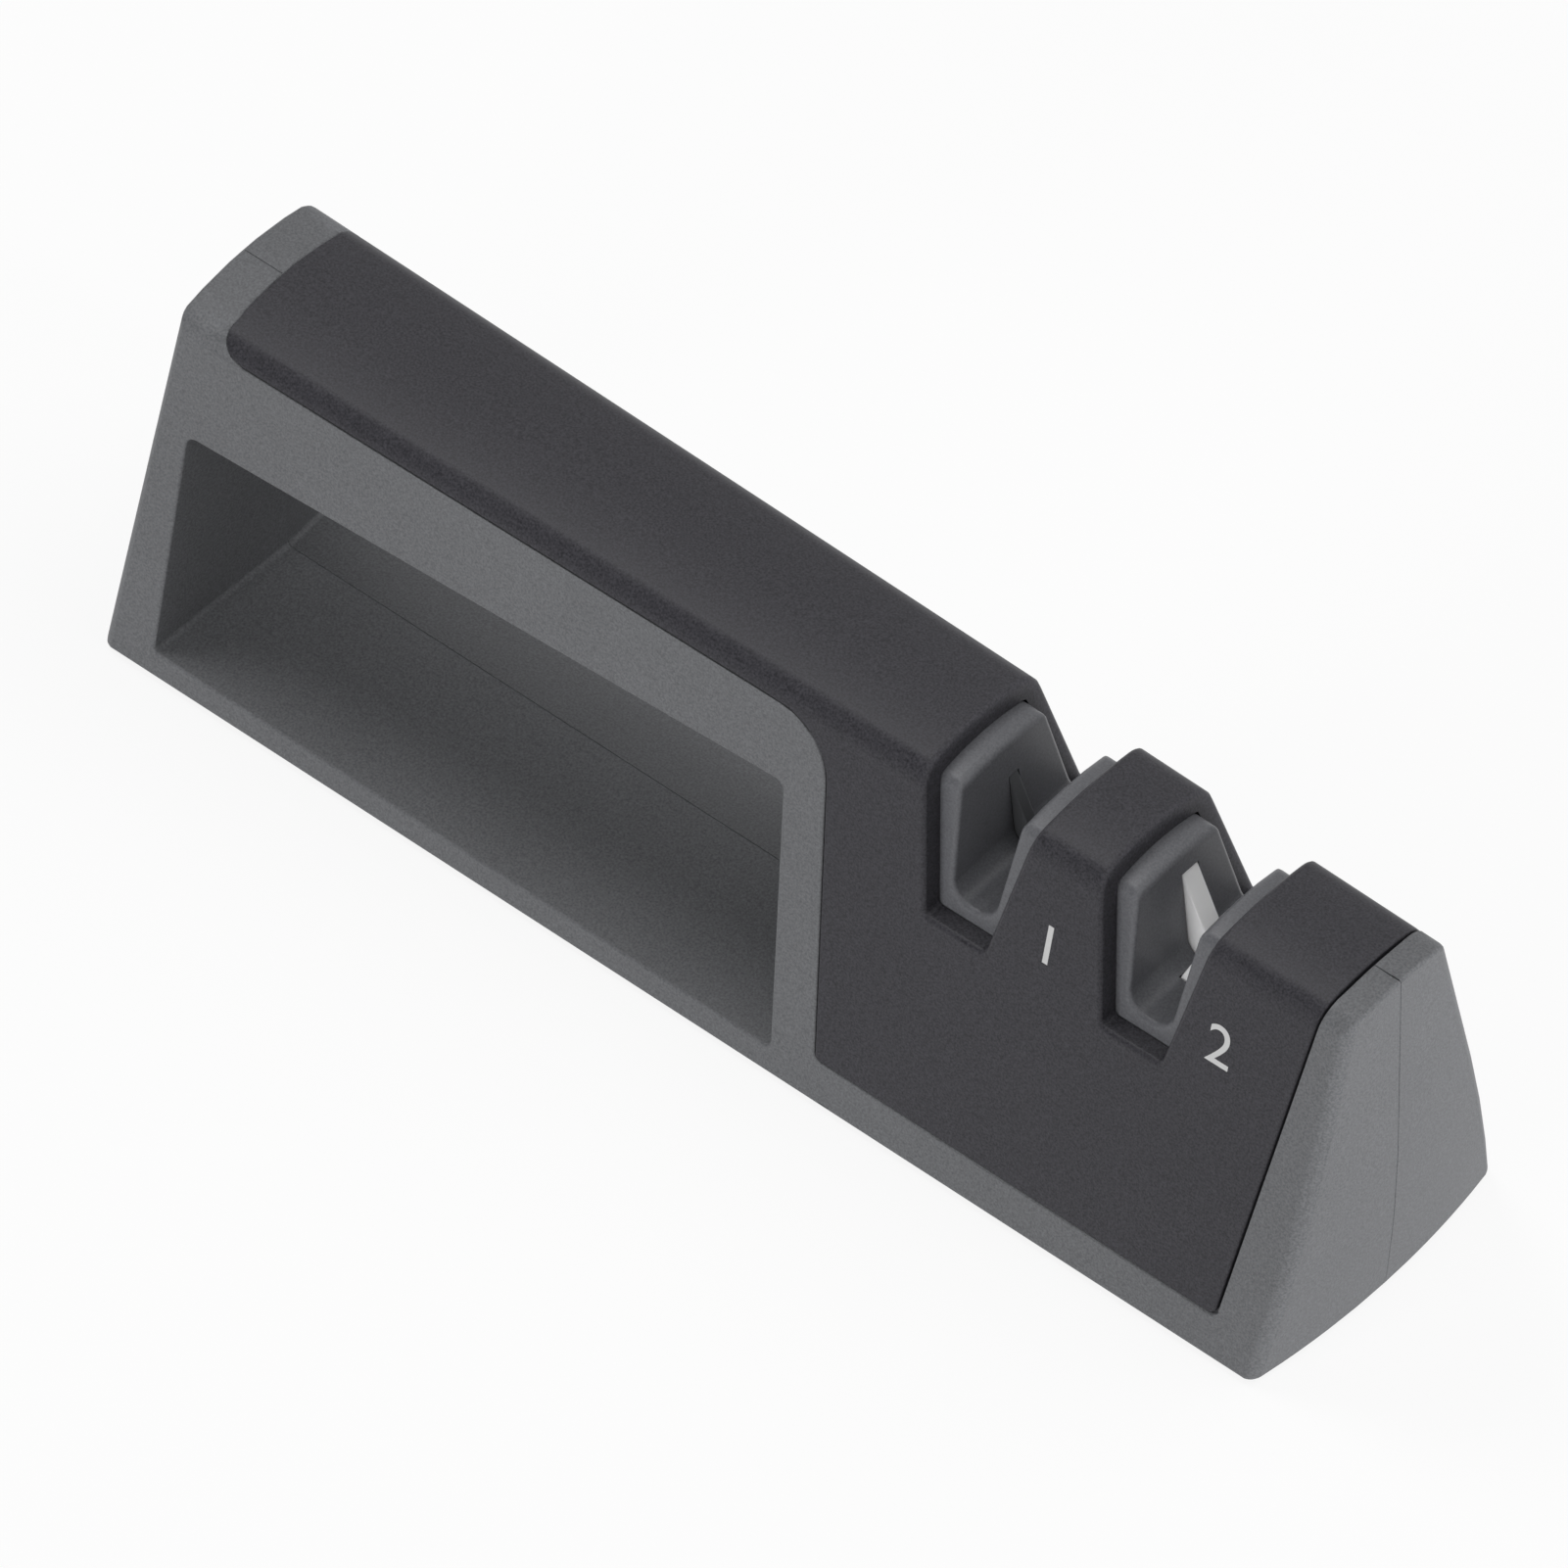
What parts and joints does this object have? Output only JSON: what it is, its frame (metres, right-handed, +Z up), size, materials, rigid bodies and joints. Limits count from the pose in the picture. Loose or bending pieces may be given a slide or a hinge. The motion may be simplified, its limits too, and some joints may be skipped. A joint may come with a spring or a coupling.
{
  "type": "pull-through knife sharpener",
  "caption": "Pull-through knife sharpener: a tapered moulded body with a hand opening, a saddle-shaped top cover, and V slots with crossed coarse and fine plates over a non-slip base.",
  "frame": {"origin": "centre of the footprint on the plane that the foot pad stands on", "axes": "+X along the length from the handle end to the stage end, +Y from the front face to the rear, +Z up"},
  "size_m": [0.195, 0.0472, 0.0596],
  "materials": {
    "body": "fine matte moulded, mid grey",
    "cover": "satin moulded, near black",
    "guide": "satin moulded, dark grey",
    "inner": "plain moulded, dark grey",
    "base": "plain moulded, black",
    "pad": "matte non-slip rubber",
    "coarse_plate": "dark ground carbide",
    "fine_plate": "matte white sintered ceramic",
    "steel": "zinc-plated steel"
  },
  "bodies": {
    "root": {"front_shell": "body", "rear_shell": "body", "top_cover": "cover", "base_plate": "base", "foot_pad": "pad", "stage_frame": "inner", "coarse_guide": "guide", "coarse_holder": "inner", "coarse_clamp": "inner", "coarse_plate_front": "coarse_plate", "coarse_plate_rear": "coarse_plate", "coarse_clamp_screws": "steel", "fine_guide": "guide", "fine_holder": "inner", "fine_clamp": "inner", "fine_plate_front": "fine_plate", "fine_plate_rear": "fine_plate", "fine_clamp_screws": "steel", "shell_dowels": "steel", "shell_screws": "steel", "base_screws": "steel"}
  },
  "joints": []
}
